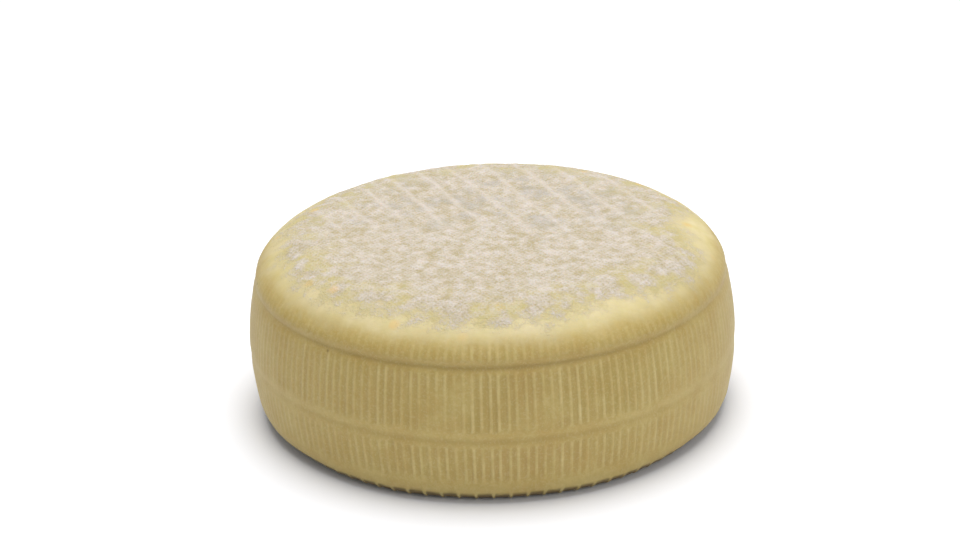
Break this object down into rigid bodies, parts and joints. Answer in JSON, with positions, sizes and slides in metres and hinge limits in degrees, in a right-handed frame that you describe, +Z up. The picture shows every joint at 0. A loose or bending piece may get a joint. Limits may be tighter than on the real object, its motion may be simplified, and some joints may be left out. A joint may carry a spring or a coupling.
{
  "type": "cheese wheel",
  "caption": "Whole uncut wheel of semi-soft cheese: a low barrel with a ribbed side, a soft shoulder, and flat round faces.",
  "frame": {"origin": "centre of the flat face that the wheel stands on", "axes": "+Z up along the wheel's axis, from the face it stands on to the top face; +X and +Y lie in the base plane"},
  "size_m": [0.25, 0.25, 0.094],
  "materials": {
    "rind": "natural cheese rind: pale yellow, ribbed and waxy on the side, dull with grey-white bloom on the faces"
  },
  "bodies": {
    "root": {"cheese_wheel": "rind"}
  },
  "joints": []
}
